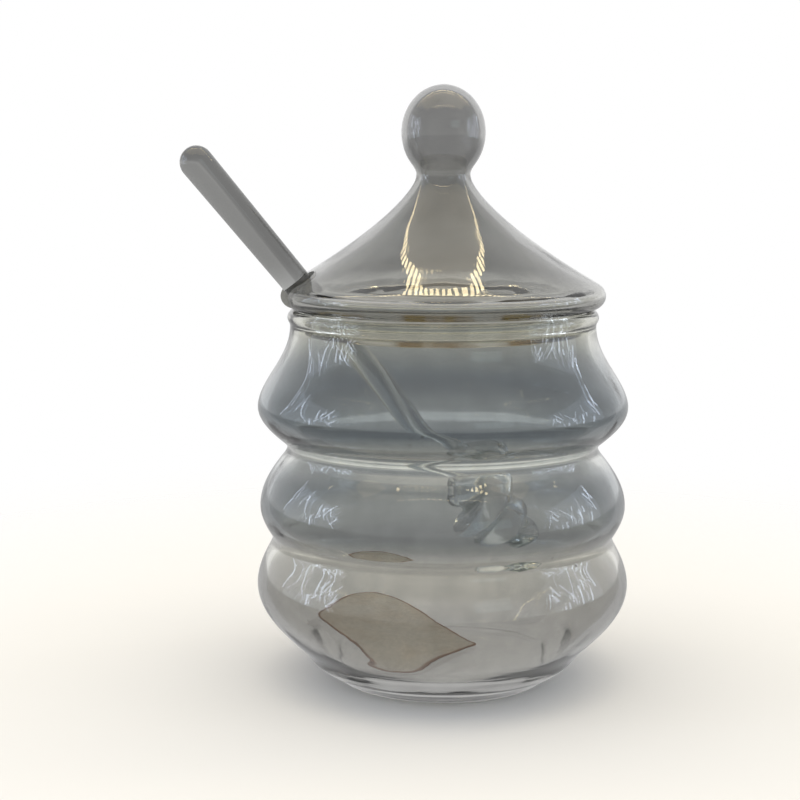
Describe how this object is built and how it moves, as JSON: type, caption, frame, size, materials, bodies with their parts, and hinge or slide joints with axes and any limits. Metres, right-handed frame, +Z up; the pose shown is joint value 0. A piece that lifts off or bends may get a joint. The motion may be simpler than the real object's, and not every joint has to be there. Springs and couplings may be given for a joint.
{
  "type": "glass honey pot",
  "caption": "Clear blown-glass honey or jam pot in stacked beehive bulges, with a loose notched lid, ball knob and a glass dipper with a wound spiral head.",
  "frame": {"origin": "centre of the flat base, on the table", "axes": "+Z up along the pot's axis, -Y towards the viewer of the picture, +X to the viewer's right"},
  "size_m": [0.1056, 0.0904, 0.1427],
  "materials": {
    "clear_glass": "gloss",
    "tan_paper": "matte"
  },
  "bodies": {
    "pot": {"pot_body": "clear_glass", "base_label": "tan_paper"},
    "lid": {"lid_hood": "clear_glass", "lid_knob": "clear_glass"},
    "dipper": {"dipper_rod": "clear_glass", "dipper_coil": "clear_glass"}
  },
  "joints": [
    {"name": "lid_lift", "type": "slide", "parent": "pot", "child": "lid", "axis": [0, 0, 1], "range_m": [0, 0.06]},
    {"name": "dipper_draw", "type": "slide", "parent": "pot", "child": "dipper", "axis": [-0.6131, -0.1643, 0.7727], "range_m": [0, 0.05]}
  ]
}
